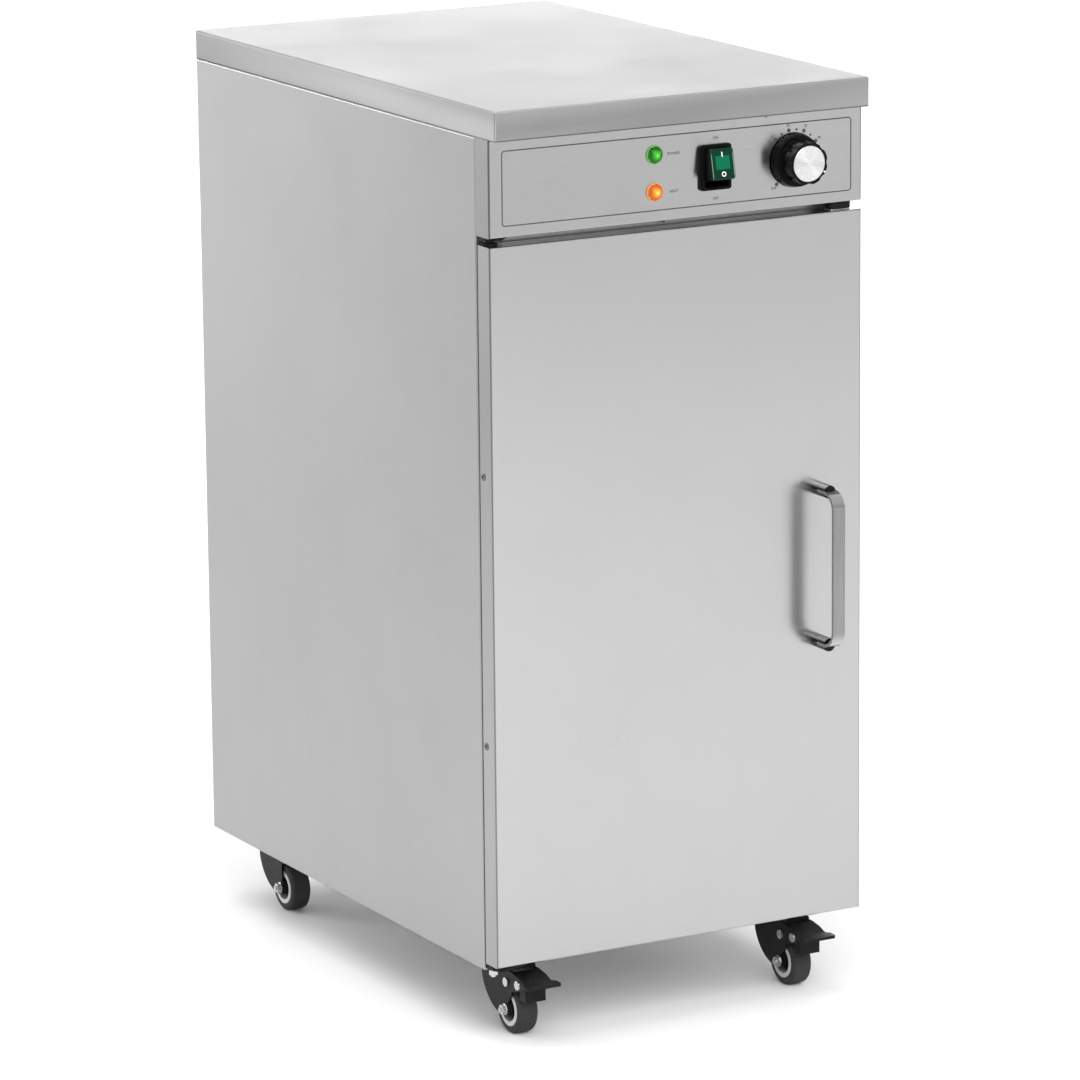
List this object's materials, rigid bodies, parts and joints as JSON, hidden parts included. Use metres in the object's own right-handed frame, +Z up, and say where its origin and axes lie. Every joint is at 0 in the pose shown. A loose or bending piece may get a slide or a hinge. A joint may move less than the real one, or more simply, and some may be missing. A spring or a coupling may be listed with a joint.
{
  "type": "plate warmer cabinet",
  "caption": "Narrow stainless plate warmer cabinet on braked swivel casters, with a side-hinged door, D handle, pilot lamps, rocker switch and thermostat knob.",
  "frame": {"origin": "on the floor, at the middle of the overall width and depth", "axes": "+Z up, +X to the user's right, the door faces -Y"},
  "size_m": [0.4022, 0.664, 0.895],
  "materials": {
    "satin_steel": "satin brushed stainless steel",
    "inner_steel": "plain stainless steel",
    "zinc_steel": "bright zinc plated",
    "wire": "bright plated wire",
    "heater_sheath": "heat-darkened tube",
    "wool": "mineral wool",
    "lamp_green": "clear green",
    "lamp_amber": "clear amber",
    "switch_black": "black moulding",
    "knob_black": "black moulding",
    "cap_silver": "spun",
    "brass_shaft": "turned",
    "rocker_green": "translucent green",
    "grey_case": "grey",
    "white_plastic": "white moulding",
    "black_plastic": "black moulding",
    "seal": "dark grey silicone",
    "black_metal": "black",
    "wheel_grey": "light grey moulding",
    "tread": "black rubber"
  },
  "bodies": {
    "cabinet": {"top_cover": "satin_steel", "side_panel_left": "satin_steel", "side_panel_right": "satin_steel", "control_panel": "satin_steel", "front_frame": "satin_steel", "back_panel": "inner_steel", "base_panel": "inner_steel", "liner_left": "inner_steel", "liner_right": "inner_steel", "liner_floor": "inner_steel", "liner_roof": "inner_steel", "liner_back": "inner_steel", "shelf_rack_left": "inner_steel", "shelf_rack_right": "inner_steel", "heater_support": "inner_steel", "heater_guard": "inner_steel", "insulation_slabs": "wool", "wire_shelf_lower": "wire", "wire_shelf_upper": "wire", "heating_element": "heater_sheath", "power_lamp": "lamp_green", "heat_lamp": "lamp_amber", "switch_housing": "switch_black", "thermostat": "grey_case", "terminal_block": "white_plastic", "safety_cutout": "black_plastic", "cable_gland": "black_plastic", "door_catch": "black_plastic", "cabinet_screws": "zinc_steel", "caster_bolts": "zinc_steel", "hinge_bracket_lower": "black_metal", "hinge_bracket_upper": "black_metal", "caster_plates": "black_metal"},
    "door": {"door_outer": "satin_steel", "door_inner": "inner_steel", "door_insulation": "wool", "door_gasket": "seal", "door_handle": "satin_steel", "handle_nuts": "zinc_steel", "hinge_bushes": "black_plastic", "catch_strike": "zinc_steel", "door_side_screws": "zinc_steel"},
    "thermostat_knob": {"knob": "knob_black", "knob_cap": "cap_silver", "thermostat_spindle": "brass_shaft"},
    "power_switch": {"rocker_button": "rocker_green"},
    "caster_front_left": {"caster_fork_front_left": "black_metal"},
    "wheel_front_left": {"caster_wheel_front_left": "wheel_grey", "caster_tyre_front_left": "tread"},
    "caster_front_right": {"caster_fork_front_right": "black_metal"},
    "wheel_front_right": {"caster_wheel_front_right": "wheel_grey", "caster_tyre_front_right": "tread"},
    "caster_rear_left": {"caster_fork_rear_left": "black_metal"},
    "wheel_rear_left": {"caster_wheel_rear_left": "wheel_grey", "caster_tyre_rear_left": "tread"},
    "caster_rear_right": {"caster_fork_rear_right": "black_metal"},
    "wheel_rear_right": {"caster_wheel_rear_right": "wheel_grey", "caster_tyre_rear_right": "tread"},
    "brake_front_left": {"brake_pedal_front_left": "black_metal"},
    "brake_front_right": {"brake_pedal_front_right": "black_metal"}
  },
  "joints": [
    {"name": "door_swing", "type": "hinge", "parent": "cabinet", "child": "door", "pos_m": [-0.192, -0.279, 0.4248], "axis": [0, 0, -1], "range_deg": [0, 105]},
    {"name": "knob_turn", "type": "hinge", "parent": "cabinet", "child": "thermostat_knob", "pos_m": [0.1253, -0.3, 0.821], "axis": [0, 1, 0], "range_deg": [-256, 6]},
    {"name": "rocker_tilt", "type": "hinge", "parent": "cabinet", "child": "power_switch", "pos_m": [0.039, -0.285, 0.822], "axis": [1, 0, 0], "range_deg": [0, 24]},
    {"name": "swivel_front_left", "type": "hinge", "parent": "cabinet", "child": "caster_front_left", "pos_m": [-0.152, -0.218, 0.07], "axis": [0, 0, 1], "continuous": true},
    {"name": "roll_front_left", "type": "hinge", "parent": "caster_front_left", "child": "wheel_front_left", "pos_m": [-0.152, -0.244, 0.024], "axis": [1, 0, 0], "continuous": true},
    {"name": "swivel_front_right", "type": "hinge", "parent": "cabinet", "child": "caster_front_right", "pos_m": [0.152, -0.218, 0.07], "axis": [0, 0, 1], "continuous": true},
    {"name": "roll_front_right", "type": "hinge", "parent": "caster_front_right", "child": "wheel_front_right", "pos_m": [0.152, -0.244, 0.024], "axis": [1, 0, 0], "continuous": true},
    {"name": "swivel_rear_left", "type": "hinge", "parent": "cabinet", "child": "caster_rear_left", "pos_m": [-0.152, 0.258, 0.07], "axis": [0, 0, 1], "continuous": true},
    {"name": "roll_rear_left", "type": "hinge", "parent": "caster_rear_left", "child": "wheel_rear_left", "pos_m": [-0.152, 0.232, 0.024], "axis": [1, 0, 0], "continuous": true},
    {"name": "swivel_rear_right", "type": "hinge", "parent": "cabinet", "child": "caster_rear_right", "pos_m": [0.152, 0.258, 0.07], "axis": [0, 0, 1], "continuous": true},
    {"name": "roll_rear_right", "type": "hinge", "parent": "caster_rear_right", "child": "wheel_rear_right", "pos_m": [0.152, 0.232, 0.024], "axis": [1, 0, 0], "continuous": true},
    {"name": "brake_press_front_left", "type": "hinge", "parent": "caster_front_left", "child": "brake_front_left", "pos_m": [-0.152, -0.25, 0.053], "axis": [1, 0, 0], "range_deg": [0, 8]},
    {"name": "brake_press_front_right", "type": "hinge", "parent": "caster_front_right", "child": "brake_front_right", "pos_m": [0.152, -0.25, 0.053], "axis": [1, 0, 0], "range_deg": [0, 8]}
  ]
}
